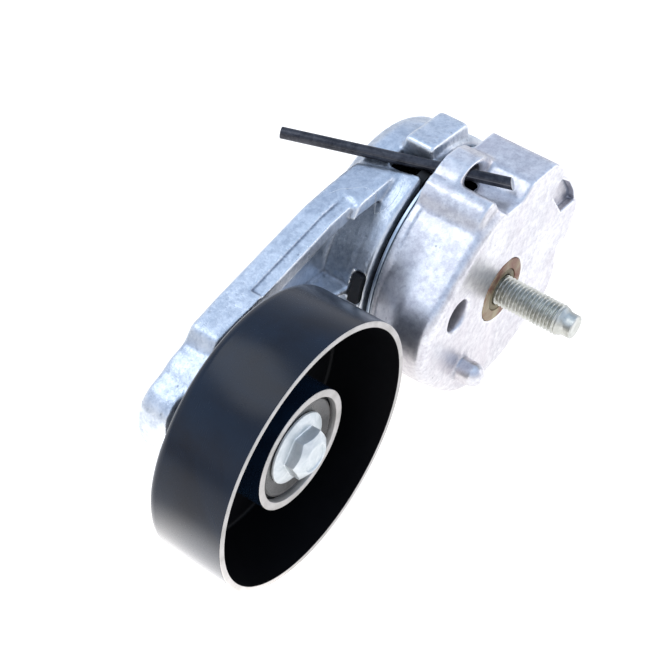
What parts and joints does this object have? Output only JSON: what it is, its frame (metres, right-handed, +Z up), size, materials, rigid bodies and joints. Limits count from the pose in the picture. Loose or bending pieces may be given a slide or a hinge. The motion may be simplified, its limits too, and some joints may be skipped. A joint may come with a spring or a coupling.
{
  "type": "automatic belt tensioner idler",
  "caption": "Automatic belt tensioner: a sprung cast arm that holds a flat idler pulley against a belt, on a round housing with a mounting stud and a lock pin.",
  "frame": {"origin": "centre of the machined mounting face, on the pivot axis, where the mounting bolt leaves it", "axes": "-Y out of the mounting face along the mounting bolt, -X from the pivot towards the pulley, +Z up across both"},
  "size_m": [0.1831, 0.0971, 0.084],
  "materials": {
    "cast_housing": "as-cast die casting, grainy, with a machined mounting face",
    "cast_arm": "as-cast die casting, grainy, with flash lines",
    "pivot_steel": "yellow passivated, tarnished at the open end",
    "retainer_plastic": "dull moulded ring",
    "ring_steel": "thin pale steel ring",
    "spring_steel": "dark oiled spring wire",
    "bushing_polymer": "self-lubricating bearing material",
    "damper_plastic": "black glass-filled plastic",
    "thrust_plastic": "pale low-friction plastic",
    "washer_steel": "plain steel plate",
    "bolt_zinc": "bright zinc plate with a bluish cast",
    "shield_steel": "dull grey pressed sheet with a bright edge",
    "spacer_steel": "turned steel",
    "race_steel": "ground bearing steel",
    "cage_steel": "pressed ribbon",
    "ball_steel": "polished bearing balls",
    "seal_rubber": "black seal",
    "pulley_coat": "glossy black coating with bare rim and hub edges",
    "stud_zinc": "grey zinc plated thread",
    "pin_black": "black oxide bar with one bright cut end"
  },
  "bodies": {
    "housing": {"spring_housing": "cast_housing", "pivot_tube": "pivot_steel", "bolt_retainer": "retainer_plastic", "wear_ring": "ring_steel", "torsion_spring": "spring_steel", "thrust_washer": "thrust_plastic", "retaining_washer": "washer_steel"},
    "arm": {"tensioner_arm": "cast_arm", "pivot_bushing": "bushing_polymer", "damper_ring": "damper_plastic", "pulley_bolt": "bolt_zinc", "dust_shield": "shield_steel", "rear_spacer": "spacer_steel", "bearing_inner_race": "race_steel"},
    "pulley": {"pulley_shell": "pulley_coat", "bearing_outer_race": "race_steel", "front_seal": "seal_rubber", "rear_seal": "seal_rubber"},
    "ball_set": {"bearing_cage": "cage_steel", "bearing_balls": "ball_steel"},
    "mounting_bolt": {"mounting_bolt": "stud_zinc"},
    "lock_pin": {"lock_pin": "pin_black"}
  },
  "joints": [
    {"name": "arm_swing", "type": "hinge", "parent": "housing", "child": "arm", "pos_m": [0, 0.0389, 0], "axis": [0, 1, 0], "range_deg": [0, 2.5], "stiffness_Nm_per_rad": 20, "springref_deg": -68.75, "deforming": ["torsion_spring"]},
    {"name": "pulley_spin", "type": "hinge", "parent": "arm", "child": "pulley", "pos_m": [-0.0985, 0.0121, 0], "axis": [0, 1, 0], "continuous": true},
    {"name": "ball_spin", "type": "hinge", "parent": "arm", "child": "ball_set", "pos_m": [-0.0985, 0.0125, 0], "axis": [0, 1, 0], "continuous": true},
    {"name": "mounting_bolt_spin", "type": "hinge", "parent": "housing", "child": "mounting_bolt", "pos_m": [0, 0, 0], "axis": [0, 1, 0], "continuous": true},
    {"name": "lock_pin_pull", "type": "slide", "parent": "housing", "child": "lock_pin", "axis": [-0.3859, 0.9225, 0], "range_m": [0, 0.045]}
  ],
  "couplings": [
    {"joint": "ball_spin", "follows": "pulley_spin", "ratio": 0.618}
  ]
}
